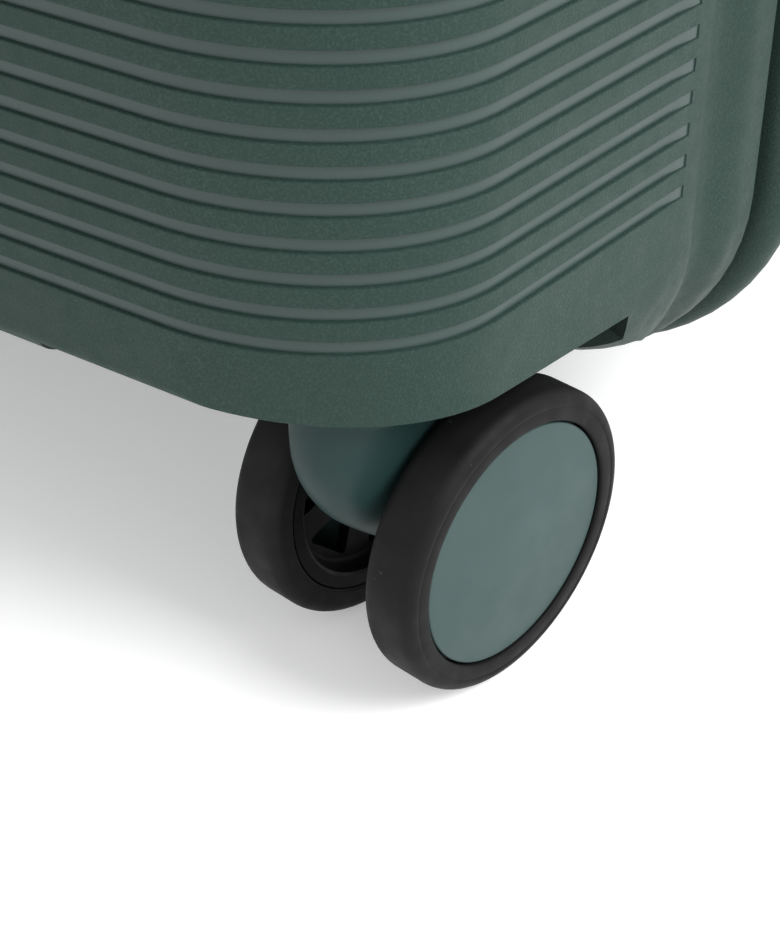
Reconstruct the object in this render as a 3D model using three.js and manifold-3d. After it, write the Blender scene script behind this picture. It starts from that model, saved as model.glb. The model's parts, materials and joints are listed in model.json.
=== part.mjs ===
// Hard shell cabin suitcase on four twin-wheel casters.
// Millimetres, +Z up. The front half faces -Y, the rear half with the trolley handle faces +Y,
// and the wheels stand on z = 0.
import * as THREE from 'three';
import { mergeVertices } from 'three/addons/utils/BufferGeometryUtils.js';
import Module from 'manifold-3d';

const wasm = await Module();
wasm.setup();

// ---- Driving dimensions -------------------------------------------------------------
const HALF_DEPTH = 115;          // seam plane to the flat face of either half
const HALF_WIDTH = 180;          // centre to the edge of the lip at the seam
const SEAM_BOTTOM = 24;          // ground to the lowest point of the lip
const SEAM_TOP = 541;            // ground to the highest point of the lip
const SEAM_GAP = 4.2;            // open joint between the two lips
const WALL = 3;                  // shell thickness
const FIT = 0.3;                 // gap between pieces that touch

// Shell: every cross-section at depth s behind the flat face is a rounded rectangle.
const CORNER_WIDTH = 43.9;       // plan corner, measured across the case
const CORNER_DEPTH = 35.3;       // plan corner, measured into the case
const FLARE = THREE.MathUtils.degToRad(6.2);   // side walls widen towards the seam
const LIP_REACH = 51.4;          // plan corner centre to the lip
// From the flat face to the seam: a bend (height, depth), then a straight slope.
const BOTTOM_FORM = { height: 6.1, depth: 17.5, slope: 0.34 };
const TOP_FORM = { height: 44, depth: 100, slope: 0.096 };
const SEAM_CORNER = 49;          // outline corner radius at the seam
const FACE_CORNER = 3;           // outline corner radius at the flat face
const LOWER_CORNER_TOP = 64;     // lower corners end below the pockets' ceilings
const CORNER_GROWTH = [75, 105]; // depths between which they grow to the seam's radius
// Valley and lip beside the seam: depth, height above the plain wall. The rear lip stands prouder.
const FRONT_RIM = [[88.8, 0], [94.8, -1.7], [99.5, -0.6], [105, 0.7], [109.5, 0.4], [112.9, -1.4]];
const REAR_RIM = [[88.8, 0], [94.8, -1], [99.5, 2.4], [103, 4.5], [106.5, 5.4], [110, 4.4],
  [112, 2.4], [112.9, 0.2]];

// Wheels and casters
const WHEEL_R = 29.5;
const TYRE_WIDTH = 11.2;
const TYRE_SHOULDER = 2.2;
const TYRE_SEAT_R = 24.1;
const WHEEL_GAP = 21;            // free width between the twin wheels
const CAP_R = 23.5;
const CAP_THICK = 1.2;
const TRAIL = 18.8;              // swivel axis to axle
const AXLE_R = 3;
const STEM_R = 4;
const CASTER_X = HALF_WIDTH - LIP_REACH + 21;
const CASTER_Y = HALF_DEPTH - 24;
const POCKET_R = 54;
const POCKET_FRONT_Z = 66.7;     // pocket ceiling just behind the flat face
const POCKET_SLOPE = 0.072;      // fall of the ceiling towards the seam
const POCKET_WALL = 2.5;
const ARCH_TOP = 56.2;           // below this height the pocket widens like a wheel arch
const ARCH_FLARE = 1.39;         // growth of its radius per height
const ARCH_END = 98;             // depth at which the arch ends, short of the lip
const HOUSING_R = 13.5;
const HOUSING_BOTTOM = 63;
const BOSS_R = 8.5;
const CASTERS = [
  { name: 'front_right', x: 1, y: -1, turn: -9.1 },
  { name: 'front_left', x: -1, y: -1, turn: -4 },
  { name: 'rear_right', x: 1, y: 1, turn: 90 },
  { name: 'rear_left', x: -1, y: 1, turn: 184 },
];

// Trolley handle
const TUBE_X = 70;
const TUBE_Y = 92;
const TUBES = {                  // outer width, outer depth, wall, bottom, top
  trolley_sleeve: [20, 15, 1.2, 66, 477.5],
  trolley_mid_tube: [17, 12, 1.1, 90, 486],
  trolley_inner_tube: [14.2, 9.2, 1.2, 110, 489.7],
};
const BEZEL = { x: 96, y0: 62, y1: 108, z0: 478, z1: 535, wall: 3.5 };
const GRIP = { x: 86, y0: 79.5, y1: 102.5, z0: 490, proud: 0.8 };
const BUTTON = { x: 15, y0: 85.5, y1: 97, z0: 511, travel: 3 };

// Carry handles: a bar with two legs through the shell of the rear half
const HANDLE = { width: 22, thick: 9, leg: 14, legDepth: 9, inside: 20, stop: 3 };
const TOP_HANDLE = { half: 75, y: 40, top: 550 };
const SIDE_HANDLE = { half: 55, y: 42, out: 190 };
const MID_Z = (SEAM_BOTTOM + SEAM_TOP) / 2;

// Hinge on the left of the seam, latches on the right
const HINGE = { x: -185.5, r: 4.5, pin: 1.8, bore: 2.1, half: 165, knuckles: 9 };
const PLATE_IN = HALF_WIDTH + 1.4;       // just clear of the lip's crest
const PLATE_THICK = 2;
const LATCH = { half: 105, leverZ: 78, lever: 20, thick: 5, pivotX: 186.3, pivotY: 16, reach: 13 };

// ---- Materials ----------------------------------------------------------------------
const material = (color, roughness, metalness = 0) => () =>
  new THREE.MeshStandardMaterial({ color, roughness, metalness });
const shellGreen = material(0x3c5249, 0.55);
const smoothGreen = material(0x3c5551, 0.4);
const capGreen = material(0x61746f, 0.42);
const tyreRubber = material(0x222222, 0.75);
const hubPlastic = material(0x0e0e0e, 0.45);
const darkPlastic = material(0x161818, 0.5);
const liningFabric = material(0x55595a, 0.95);
const steel = material(0xb4b6b8, 0.3, 1);
const aluminium = material(0xa9adb0, 0.35, 1);

// ---- Solids ---------------------------------------------------------------------------
function toSolid(geometry) {
  const plain = geometry.clone();
  plain.deleteAttribute('normal');
  plain.deleteAttribute('uv');
  const merged = mergeVertices(plain, 1e-4);
  return new wasm.Manifold(new wasm.Mesh({
    numProp: 3,
    vertProperties: new Float32Array(merged.attributes.position.array),
    triVerts: new Uint32Array(merged.index.array),
  }));
}

function toGeometry(solid) {
  const mesh = solid.getMesh();
  const geometry = new THREE.BufferGeometry();
  geometry.setAttribute('position', new THREE.BufferAttribute(mesh.vertProperties, 3));
  geometry.setIndex(new THREE.BufferAttribute(mesh.triVerts, 1));
  return geometry;
}

const moved = (geometry, x, y, z) => toSolid(geometry.translate(x, y, z));

/** A box given by its low and high corners. */
function block(low, high) {
  const size = high.map((value, i) => value - low[i]);
  return moved(new THREE.BoxGeometry(...size), ...low.map((value, i) => value + size[i] / 2));
}

/** An upright cylinder between two heights. */
function post(r, z0, z1, x = 0, y = 0, segments = 20) {
  const cylinder = new THREE.CylinderGeometry(r, r, z1 - z0, segments).rotateX(Math.PI / 2);
  return moved(cylinder, x, y, (z0 + z1) / 2);
}

/** Skin through equal-length rings of points, closed by a flat fan at either end. */
function loft(rings) {
  const count = rings[0].length;
  const positions = rings.flat().flatMap((p) => p.toArray());
  const index = [];
  for (let ring = 0; ring + 1 < rings.length; ring += 1) {
    for (let i = 0; i < count; i += 1) {
      const a = ring * count + i;
      const b = ring * count + ((i + 1) % count);
      index.push(a, b, a + count, b, b + count, a + count);
    }
  }
  const last = (rings.length - 1) * count;
  for (let i = 1; i + 1 < count; i += 1) {
    index.push(0, i + 1, i, last, last + i, last + i + 1);
  }
  const geometry = new THREE.BufferGeometry();
  geometry.setAttribute('position', new THREE.Float32BufferAttribute(positions, 3));
  geometry.setIndex(index);
  return toSolid(geometry);
}

// ---- Shell form -------------------------------------------------------------------------
const ARC_END = Math.atan(CORNER_WIDTH / (Math.tan(FLARE) * CORNER_DEPTH));
const arcDepth = (angle) => CORNER_DEPTH * (1 - Math.cos(angle));
const FACE_HALF_WIDTH = HALF_WIDTH - LIP_REACH;
const LIP_END = HALF_DEPTH - SEAM_GAP / 2;

/** Valley and rounded lip beside the seam, as an offset of the side wall. */
function rimRelief(rim, s) {
  for (let i = 0; i + 1 < rim.length; i += 1) {
    const [s0, h0] = rim[i];
    const [s1, h1] = rim[i + 1];
    if (s >= s0 && s <= s1) return THREE.MathUtils.lerp(h0, h1, (s - s0) / (s1 - s0));
  }
  return 0;
}

/** Half width of the case at depth s, for a surface lying inset inside the outer one. */
function halfWidth(s, inset) {
  const end = arcDepth(ARC_END);
  if (s > end) {
    return FACE_HALF_WIDTH + CORNER_WIDTH * Math.sin(ARC_END) - inset + Math.tan(FLARE) * (s - end);
  }
  const k = Math.min(1, Math.max(0, (CORNER_DEPTH - s) / (CORNER_DEPTH - inset)));
  return FACE_HALF_WIDTH + (CORNER_WIDTH - inset) * Math.sqrt(1 - k * k);
}

/** How far the bottom or the top lies inside the lip's level at depth s. */
function drawnIn({ height, depth, slope }, s, inset) {
  const k = Math.min(1, Math.max(0, (depth - s) / (depth - inset)));
  const bend = Math.max(0, height - inset) * (1 - Math.sqrt(1 - k * k));
  return inset + bend + slope * Math.max(0, LIP_END - s);
}

const bottom = (s, inset) => SEAM_BOTTOM + drawnIn(BOTTOM_FORM, s, inset);
const top = (s, inset) => SEAM_TOP - drawnIn(TOP_FORM, s, inset);

function lowerRadius(s, inset) {
  const growth = THREE.MathUtils.smoothstep(s, ...CORNER_GROWTH);
  const centre = THREE.MathUtils.lerp(LOWER_CORNER_TOP, SEAM_BOTTOM + SEAM_CORNER, growth);
  return Math.max(FACE_CORNER, centre - bottom(s, 0) - inset);
}

function upperRadius(s, inset) {
  const drop = 1 - drawnIn(TOP_FORM, s, 0) / drawnIn(TOP_FORM, 0, 0);
  return Math.max(FACE_CORNER, THREE.MathUtils.lerp(FACE_CORNER, SEAM_CORNER, drop) - inset);
}

/** Rounded rectangle in a plane of constant y, anticlockwise seen from the front. */
function outline(halfW, z0, z1, r, y, steps = 5, rTop = r) {
  const centres = [[halfW - r, z0 + r, -90, r], [halfW - rTop, z1 - rTop, 0, rTop],
    [rTop - halfW, z1 - rTop, 90, rTop], [r - halfW, z0 + r, 180, r]];
  return centres.flatMap(([x, z, start, radius]) => Array.from({ length: steps + 1 }, (_, i) => {
    const angle = THREE.MathUtils.degToRad(start + (90 * i) / steps);
    return new THREE.Vector3(x + radius * Math.cos(angle), y, z + radius * Math.sin(angle));
  }));
}

/** Solid of the front half at the given inset, with a rim if one is given. */
function halfBody(inset, depths, rim = []) {
  return loft(depths.toReversed().map((s) => {
    const skin = inset - rimRelief(rim, s);
    return outline(halfWidth(s, skin), bottom(s, skin), top(s, skin), lowerRadius(s, skin),
      s - HALF_DEPTH, 5, upperRadius(s, skin));
  }));
}

const arcStations = (inset) => [0, 18, 36, 54, 72].map((deg) =>
  inset + (CORNER_DEPTH - inset) * (1 - Math.cos(THREE.MathUtils.degToRad(deg))));
const wallStations = [arcDepth(ARC_END), 45, 60, 75];
const outerStations = (rim) => [...arcStations(0), ...wallStations, ...rim.map(([s]) => s)];
const innerStations = [...arcStations(WALL), ...wallStations, 82, 90, 98, 105, 120];
const flatStations = [...arcStations(0), arcDepth(ARC_END), 60, 90];

const pocketCeiling = (s) => POCKET_FRONT_Z - POCKET_SLOPE * (s - WALL);

/**
 * Space for one front caster: round, with its ceiling falling towards the seam, and widening
 * downwards below the arch's top. It is drawn larger all round by the thickness given.
 */
function pocketSpace(side, larger, lift = larger) {
  const centre = [side * CASTER_X, -CASTER_Y];
  const cylinder = post(POCKET_R + larger, -5, 120, ...centre, 32);
  const archTop = POCKET_R + larger * Math.hypot(1, ARCH_FLARE);
  const archHeight = ARCH_TOP + 5;
  const cone = new THREE.CylinderGeometry(archTop, archTop + ARCH_FLARE * archHeight, archHeight, 32);
  cone.rotateX(Math.PI / 2).translate(...centre, ARCH_TOP - archHeight / 2);
  const reach = block([-HALF_DEPTH * 3, -400, -10], [HALF_DEPTH * 3, ARCH_END - HALF_DEPTH + larger, 90]);
  const lid = new THREE.BoxGeometry(300, 400, 100);
  lid.translate(0, 0, 50).rotateX(-Math.atan(POCKET_SLOPE));
  lid.translate(side * CASTER_X, -HALF_DEPTH, pocketCeiling(0) + lift);
  return cylinder.add(toSolid(cone).intersect(reach)).subtract(toSolid(lid));
}

/** Shell of one half, drawn as the front one, with a rim and two caster pockets. */
function halfShell(rim) {
  const body = halfBody(0, outerStations(rim), rim);
  let shell = body.subtract(halfBody(WALL, innerStations));
  for (const side of [-1, 1]) {
    shell = shell.add(body.intersect(pocketSpace(side, POCKET_WALL)));
    shell = shell.subtract(pocketSpace(side, 0));
    shell = shell.subtract(post(BOSS_R + FIT, 50, 90, side * CASTER_X, -CASTER_Y));
  }
  return shell;
}

const toRear = (solid) => solid.mirror([0, 1, 0]);
const proudRear = (proud) => toRear(halfBody(-proud, flatStations));

// ---- Handles -----------------------------------------------------------------------------
/** Bar lying along X with its outer face at z = 0, and two legs with stops below it. */
function carryHandle({ half }) {
  const { width, thick, leg, legDepth, inside, stop } = HANDLE;
  const shape = new THREE.Shape();
  shape.moveTo(-half, -thick);
  shape.lineTo(half, -thick);
  shape.lineTo(half, -thick * 0.6);
  shape.quadraticCurveTo(half - 2, 0, half - 14, 0);
  shape.lineTo(14 - half, 0);
  shape.quadraticCurveTo(2 - half, 0, -half, -thick * 0.6);
  shape.closePath();
  const bar = new THREE.ExtrudeGeometry(shape, { depth: width, bevelEnabled: false, curveSegments: 4 });
  let solid = toSolid(bar.rotateX(Math.PI / 2).translate(0, width / 2, 0));
  for (const side of [-1, 1]) {
    const x = side * (half - leg);
    const low = -thick - inside;
    solid = solid.add(block([x - leg / 2, -legDepth / 2, low], [x + leg / 2, legDepth / 2, -thick + 1]));
    solid = solid.add(block([x - leg / 2 - 3, -legDepth / 2 - 2, low],
      [x + leg / 2 + 3, legDepth / 2 + 2, low + stop]));
  }
  return solid;
}

/** The two shell slots that a carry handle's legs pass through. */
function legSlots({ half }) {
  const { thick, leg, legDepth } = HANDLE;
  const slots = [-1, 1].map((side) => {
    const x = side * (half - leg);
    return block([x - leg / 2 - FIT, -legDepth / 2 - FIT, -thick - 12],
      [x + leg / 2 + FIT, legDepth / 2 + FIT, 0]);
  });
  return slots[0].add(slots[1]);
}

const onTop = (solid) => solid.translate([0, TOP_HANDLE.y, TOP_HANDLE.top]);
const onSide = (solid) => solid.rotate([0, 90, 0]).translate([SIDE_HANDLE.out, SIDE_HANDLE.y, MID_Z]);

// ---- Trolley handle ------------------------------------------------------------------------
function boxAt({ x, y0, y1, z0, z1 }, grow = 0, floor = 0) {
  return block([-x - grow, y0 - grow, z0 + floor], [x + grow, y1 + grow, z1]);
}

function tube([width, depth, wall, z0, z1]) {
  const shape = new THREE.Shape(outlinePoints(width / 2, depth / 2, 3));
  shape.holes.push(new THREE.Path(outlinePoints(width / 2 - wall, depth / 2 - wall, 2)));
  return new THREE.ExtrudeGeometry(shape, { depth: z1 - z0, bevelEnabled: false }).translate(0, 0, z0);
}

/** Corners of a rectangle with chamfered corners. */
function outlinePoints(x, y, cut) {
  return [[x, y - cut], [x - cut, y], [cut - x, y], [-x, y - cut], [-x, cut - y],
    [cut - x, -y], [x - cut, -y], [x, cut - y]].map(([px, py]) => new THREE.Vector2(px, py));
}

const [sleeveWidth, sleeveDepth, sleeveWall] = TUBES.trolley_sleeve;
let bezel = boxAt(BEZEL).intersect(proudRear(1.2));
bezel = bezel.subtract(boxAt({ ...BEZEL, z1: BEZEL.z1 + 5 }, -BEZEL.wall, 3));
for (const side of [-1, 1]) {
  const hole = [sleeveWidth / 2 - sleeveWall, sleeveDepth / 2 - sleeveWall];
  const x = side * TUBE_X;
  bezel = bezel.subtract(block([x - hole[0], TUBE_Y - hole[1], BEZEL.z0 - 5],
    [x + hole[0], TUBE_Y + hole[1], BEZEL.z0 + 5]));
}

const gripBlock = boxAt({ ...GRIP, z1: 540 }).intersect(proudRear(GRIP.proud));
const buttonWell = boxAt({ ...BUTTON, z1: 540 }, FIT, -BUTTON.travel - 0.5);
const grip = gripBlock.subtract(buttonWell);
const button = boxAt({ ...BUTTON, z1: 540 }).intersect(proudRear(GRIP.proud + 0.8));

const frontShell = halfShell(FRONT_RIM);
let rearShell = toRear(halfShell(REAR_RIM)).subtract(boxAt({ ...BEZEL, z1: 560 }, FIT));
for (const [side, half] of [[-1, HINGE.half], [1, LATCH.half]]) {
  const x = [side * (PLATE_IN - FIT), side * 200].sort((a, b) => a - b);
  rearShell = rearShell.subtract(block([x[0], 0, MID_Z - half - 1], [x[1], 24, MID_Z + half + 1]));
}
rearShell = rearShell.subtract(onTop(legSlots(TOP_HANDLE))).subtract(onSide(legSlots(SIDE_HANDLE)));

// ---- Frames and linings ---------------------------------------------------------------------
/** Stiffening ring inside one lip, reaching to the seam plane. */
function seamFrame(outer, inner, reach) {
  const ring = (inset, y) => outline(HALF_WIDTH - inset, SEAM_BOTTOM + inset, SEAM_TOP - inset,
    SEAM_CORNER - inset, y);
  const body = loft([ring(outer, -FIT / 2), ring(outer, -reach)]);
  return body.subtract(loft([ring(inner, 5), ring(inner, -reach - 5)]));
}

/** Fabric tray of one half. It steps over the caster pockets and whatever the half holds. */
function liningTray(deep, sideLimit, tops) {
  const topAt = (s) => tops.find(([limit]) => s < limit)?.[1] ?? SEAM_TOP;
  const tray = (inset, shift, end) => {
    const depths = [deep, 50, 57, 59, 82, 86, 89, 93, 101].filter((s) => s >= deep);
    const rings = depths.map((s) => {
      const roof = s < 84 ? 75 : 144 - s;   // clears the pocket, then its arch
      const z0 = Math.max(bottom(s, inset), roof + inset);
      const z1 = Math.min(top(s, inset), topAt(s) - inset);
      const half = Math.min(halfWidth(s, inset), s < 91 ? sideLimit - inset : HALF_WIDTH);
      const y = s === 101 ? end : s + shift;
      return outline(half, z0, z1, Math.max(upperRadius(s, inset), 14 - shift), y - HALF_DEPTH, 4);
    });
    return loft(rings.toReversed());
  };
  return tray(5.5, 0, 101).subtract(tray(7.5, 2, 106));
}

const frontLining = liningTray(6.5, 400, []);
const rearLining = liningTray(33, 165, [[58, 479], [91, 519]]);

// ---- Hinge and latches -------------------------------------------------------------------------
/** One hinge leaf on the front half, with every second knuckle. */
function hingeLeaf(first) {
  const { x, r, bore, half, knuckles } = HINGE;
  const pitch = (2 * half) / knuckles;
  let leaf = block([-PLATE_IN - PLATE_THICK, -18, MID_Z - half], [-PLATE_IN, -5.6, MID_Z + half]);
  for (let i = first; i < knuckles; i += 2) {
    const z0 = MID_Z - half + i * pitch + FIT / 2;
    const z1 = z0 + pitch - FIT;
    leaf = leaf.add(block([-PLATE_IN - PLATE_THICK, -6, z0], [-PLATE_IN - 0.3, -2, z1]));
    leaf = leaf.add(post(r, z0, z1, x, 0, 12));
  }
  return leaf.subtract(post(bore, 0, 600, x, 0, 8));
}

const leverCentres = [-1, 1].map((side) => MID_Z + side * LATCH.leverZ);

function latchPlate() {
  const { half, lever, pivotX, pivotY } = LATCH;
  let plate = block([PLATE_IN, 3.5, MID_Z - half], [PLATE_IN + PLATE_THICK, 23, MID_Z + half]);
  for (const z of leverCentres) {
    for (const side of [-1, 1]) {
      const inner = z + side * (lever + FIT);
      const ear = [inner, inner + side * 4].sort((a, b) => a - b);
      plate = plate.add(block([PLATE_IN + 1, pivotY - 4, ear[0]], [pivotX + 3, pivotY + 4, ear[1]]));
    }
    plate = plate.subtract(post(2.1, z - lever - 3.5, z + lever + 3.5, pivotX, pivotY, 10));
  }
  return plate;
}

function latchLever(z) {
  const { lever, thick, pivotX, pivotY, reach } = LATCH;
  const x0 = PLATE_IN + PLATE_THICK + 0.5;
  return block([x0, -reach, z - lever], [x0 + thick, pivotY, z + lever])
    .add(post(2.4, z - lever, z + lever, pivotX, pivotY, 12))
    .add(post(1.8, z - lever - 3, z + lever + 3, pivotX, pivotY, 10));
}

// ---- Casters ---------------------------------------------------------------------------------------
/** Lathe turned to spin about X, from a profile of [radius, distance out from the fork]. */
function wheelRing(profile, segments) {
  const points = [...profile, profile[0]].map(([r, out]) => new THREE.Vector2(r, out));
  return new THREE.LatheGeometry(points, segments).rotateZ(-Math.PI / 2);
}

const inFace = WHEEL_GAP / 2;
const outFace = inFace + TYRE_WIDTH;
const capOut = outFace - 0.6;
const capIn = capOut - CAP_THICK;

const tyreGeometry = wheelRing([
  [TYRE_SEAT_R, inFace + 0.4], [WHEEL_R - TYRE_SHOULDER, inFace], [WHEEL_R, inFace + TYRE_SHOULDER],
  [WHEEL_R, outFace - TYRE_SHOULDER], [WHEEL_R - TYRE_SHOULDER, outFace], [TYRE_SEAT_R, outFace - 0.4],
], 28);
const hubGeometry = wheelRing([
  [AXLE_R + FIT, inFace], [8, inFace], [9, inFace + 4], [19, inFace + 4], [20.5, inFace + 0.5],
  [TYRE_SEAT_R - FIT, inFace + 0.5], [TYRE_SEAT_R - FIT, capIn - FIT], [AXLE_R + FIT, capIn - FIT],
], 20);
const capGeometry = new THREE.CylinderGeometry(CAP_R, CAP_R, CAP_THICK, 28);
capGeometry.rotateZ(-Math.PI / 2).translate(capIn + CAP_THICK / 2, 0, 0);

/** Swivelling fork: a disc and stem under the housing, and a horn down to the axle. */
function forkSolid() {
  const sections = [          // height, leading edge, trailing edge, half width
    [61.5, -13, 24, 9.7], [51, -13, 25, 9.7], [43, -10.5, 26, 9.5],
    [35, -3.5, 27, 9], [28, 5, 27, 8.4], [22, 12, 25, 7.4],
  ];
  const rings = sections.map(([z, lead, back, half]) => Array.from({ length: 16 }, (_, i) => {
    const angle = (2 * Math.PI * i) / 16;
    const round = (value) => Math.sign(value) * Math.abs(value) ** 0.75;
    return new THREE.Vector3(half * round(Math.cos(angle)),
      (lead + back) / 2 + ((back - lead) / 2) * round(Math.sin(angle)), z);
  }));
  const horn = loft(rings.toReversed());
  const bore = moved(new THREE.CylinderGeometry(AXLE_R + FIT, AXLE_R + FIT, 40, 12).rotateZ(Math.PI / 2),
    0, TRAIL, WHEEL_R);
  return horn.add(post(12.5, 59.3, HOUSING_BOTTOM - FIT)).add(post(STEM_R, 60, 74, 0, 0, 12)).subtract(bore);
}

/** Housing under the sloping ceiling of the pocket, with a boss for the fork's stem. */
function housingSolid(side) {
  return post(HOUSING_R, HOUSING_BOTTOM, 80, side * CASTER_X, -CASTER_Y, 24)
    .intersect(pocketSpace(side, -1, -FIT))
    .add(post(BOSS_R, HOUSING_BOTTOM, 77, side * CASTER_X, -CASTER_Y, 16))
    .subtract(post(STEM_R + 0.5, 50, 75, side * CASTER_X, -CASTER_Y, 12));
}

// ---- Assembly ------------------------------------------------------------------------------------------
const suitcase = new THREE.Group();

function place(name, shape, finish, parent = suitcase) {
  const geometry = shape.isBufferGeometry ? shape : toGeometry(shape);
  const mesh = new THREE.Mesh(geometry, finish());
  mesh.name = name;
  parent.add(mesh);
  return mesh;
}

place('front_shell', frontShell, shellGreen);
place('rear_shell', rearShell, shellGreen);
const frame = seamFrame(5.5, 11, 8.5);
place('front_frame', frame, darkPlastic);
place('rear_frame', toRear(frame), darkPlastic);
place('front_lining', frontLining, liningFabric);
place('rear_lining', toRear(rearLining), liningFabric);

place('hinge_front_leaf', hingeLeaf(1), aluminium);
place('hinge_rear_leaf', toRear(hingeLeaf(0)), aluminium);
place('hinge_pin', post(HINGE.pin, MID_Z - HINGE.half, MID_Z + HINGE.half, HINGE.x, 0, 10), steel);

place('latch_plate', latchPlate(), aluminium);
place('catch_plate', block([PLATE_IN, -18, MID_Z - LATCH.half],
  [PLATE_IN + PLATE_THICK, -3.5, MID_Z + LATCH.half]), aluminium);
place('latch_lever_lower', latchLever(leverCentres[0]), darkPlastic);
place('latch_lever_upper', latchLever(leverCentres[1]), darkPlastic);

place('top_handle', onTop(carryHandle(TOP_HANDLE)), smoothGreen);
place('side_handle', onSide(carryHandle(SIDE_HANDLE)), smoothGreen);

place('trolley_bezel', bezel, darkPlastic);
place('trolley_grip', grip, smoothGreen);
place('trolley_button', button, darkPlastic);
for (const [side, x] of [['left', -TUBE_X], ['right', TUBE_X]]) {
  for (const [name, size] of Object.entries(TUBES)) {
    place(`${name}_${side}`, tube(size), aluminium).position.set(x, TUBE_Y, 0);
  }
}

for (const { name, x, y, turn } of CASTERS) {
  const housing = housingSolid(x);
  place(`caster_housing_${name}`, y > 0 ? toRear(housing) : housing, darkPlastic);
  const caster = new THREE.Group();
  caster.position.set(x * CASTER_X, y * CASTER_Y, 0);
  caster.rotation.z = THREE.MathUtils.degToRad(turn);
  suitcase.add(caster);
  place(`caster_fork_${name}`, forkSolid(), smoothGreen, caster);
  const axle = new THREE.CylinderGeometry(AXLE_R, AXLE_R, 2 * (capIn - 1), 12).rotateZ(Math.PI / 2);
  place(`axle_${name}`, axle, steel, caster).position.set(0, TRAIL, WHEEL_R);
  for (const [side, flip] of [['right', 0], ['left', Math.PI]]) {
    const wheel = new THREE.Group();
    wheel.position.set(0, TRAIL, WHEEL_R);
    wheel.rotation.z = flip;
    caster.add(wheel);
    place(`tyre_${name}_${side}`, tyreGeometry, tyreRubber, wheel);
    place(`hub_${name}_${side}`, hubGeometry, hubPlastic, wheel);
    place(`cap_${name}_${side}`, capGeometry, capGreen, wheel);
  }
}

export default suitcase;
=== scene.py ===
"""Hard shell cabin suitcase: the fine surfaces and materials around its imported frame.

Functions work in millimetres, like the design of the frame; to_object() turns them into Blender's
metres. Depth s is measured from the flat face of a half towards the seam.
"""
import json
import math

import bmesh
import bpy
from mathutils import Matrix, Vector


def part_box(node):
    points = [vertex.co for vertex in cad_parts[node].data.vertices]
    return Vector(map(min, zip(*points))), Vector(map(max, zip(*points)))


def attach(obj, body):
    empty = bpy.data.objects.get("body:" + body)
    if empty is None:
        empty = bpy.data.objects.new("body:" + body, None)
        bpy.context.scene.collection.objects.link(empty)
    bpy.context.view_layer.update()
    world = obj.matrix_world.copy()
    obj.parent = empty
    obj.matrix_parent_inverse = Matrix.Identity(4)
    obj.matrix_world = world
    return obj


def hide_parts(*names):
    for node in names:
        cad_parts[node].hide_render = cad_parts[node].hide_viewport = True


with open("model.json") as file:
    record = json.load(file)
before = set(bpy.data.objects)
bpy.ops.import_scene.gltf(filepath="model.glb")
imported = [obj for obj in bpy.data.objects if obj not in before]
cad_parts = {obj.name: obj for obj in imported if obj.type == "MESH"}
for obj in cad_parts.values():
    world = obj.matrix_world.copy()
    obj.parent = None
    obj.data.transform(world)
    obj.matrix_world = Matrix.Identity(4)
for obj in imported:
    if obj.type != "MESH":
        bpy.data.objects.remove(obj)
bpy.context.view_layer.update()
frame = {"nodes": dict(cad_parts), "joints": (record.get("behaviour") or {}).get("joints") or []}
JOINTS = {joint["name"]: joint for joint in frame["joints"]}
TO_MM = 1000.0


def box_mm(node):
    low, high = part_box(node)
    return low * TO_MM, high * TO_MM


# ---- Driving dimensions ----------------------------------------------------------------------
SHELL_LOW, SHELL_HIGH = box_mm("front_shell")
HALF_DEPTH = -SHELL_LOW.y
LIP_EDGE = HALF_DEPTH + SHELL_HIGH.y          # depth of the lip's edge at the seam
SEAM_BOTTOM = 24.0
SEAM_TOP = 541.0
WALL = 3.0
LIP_WALL = 5.2                                # the lip, where the frame lies inside it
PLATE_ZONE = 24.0                             # width of the flats for the hinge and the latches
PITCH = 6.0                                   # from one groove to the next
CORNER_WIDTH = 43.9                           # plan corner, an ellipse
CORNER_DEPTH = 35.3
FLARE = math.radians(6.2)                     # side walls widen towards the seam
LIP_CREST = 52.5                              # plan corner centre to the lip's crest
FACE_HALF = SHELL_HIGH.x - LIP_CREST
BOTTOM_FORM = (6.1, 17.5, 0.34)               # bend's height and depth, slope up to the seam
TOP_FORM = (44.0, 100.0, 0.096)
SEAM_CORNER = 46.0
FACE_CORNER = 0.6
LOWER_CORNER_TOP = 64.0                       # lower corners end below the pockets' ceilings
CORNER_GROWTH = (75.0, 105.0)
GRID_LOW, GRID_HIGH = 76.0, 485.5             # the zone of the walls without corners
ARC_END = math.atan(CORNER_WIDTH / (math.tan(FLARE) * CORNER_DEPTH))
GROOVE_FIRST = 79.7                           # height of the lowest groove's floor
GROOVE_FLOOR = 2.3
GROOVE_DEPTH = 0.8
GROOVE_END = 85.2
GROOVE_RUNOUT = 7.0                           # length over which it grows shallow before its end
GROOVE_STEP = 0.35                            # share of its depth left at the end
GROOVE_PROFILE = [                            # height from the floor's lower edge, depth
    (-0.50, 0.0), (-0.36, 0.0), (-0.17, 0.06), (-0.07, 0.22), (0.0, GROOVE_DEPTH),
    (GROOVE_FLOOR, GROOVE_DEPTH), (GROOVE_FLOOR + 0.07, 0.22), (GROOVE_FLOOR + 0.17, 0.06),
    (GROOVE_FLOOR + 0.36, 0.0), (GROOVE_FLOOR + 0.50, 0.0),
]
POCKET_R = 54.0
POCKET_FRONT_Z = 66.7
POCKET_SLOPE = 0.072
POCKET_WALL = 2.5
ARCH_TOP = 56.2                               # below this the pocket widens like a wheel arch
ARCH_FLARE = 1.39
ARCH_END = 98.0
WHEEL_R = 29.5
TRAIL = 18.8
SPOKES = 6
SPOKE_TURN = 12                               # degrees from the horizontal to the first window
AXLE_BORE_R = 3.3
LEG_INSET = 14.0                              # end of a carry handle's bar to its leg's middle
LEG_SLOT = (7.3, 4.8)                         # half width and half depth of a leg's slot
STOP_SEAT = (10.3, 6.8, 12.4)                 # space for a pulled leg's stop: half sizes and height

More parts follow.
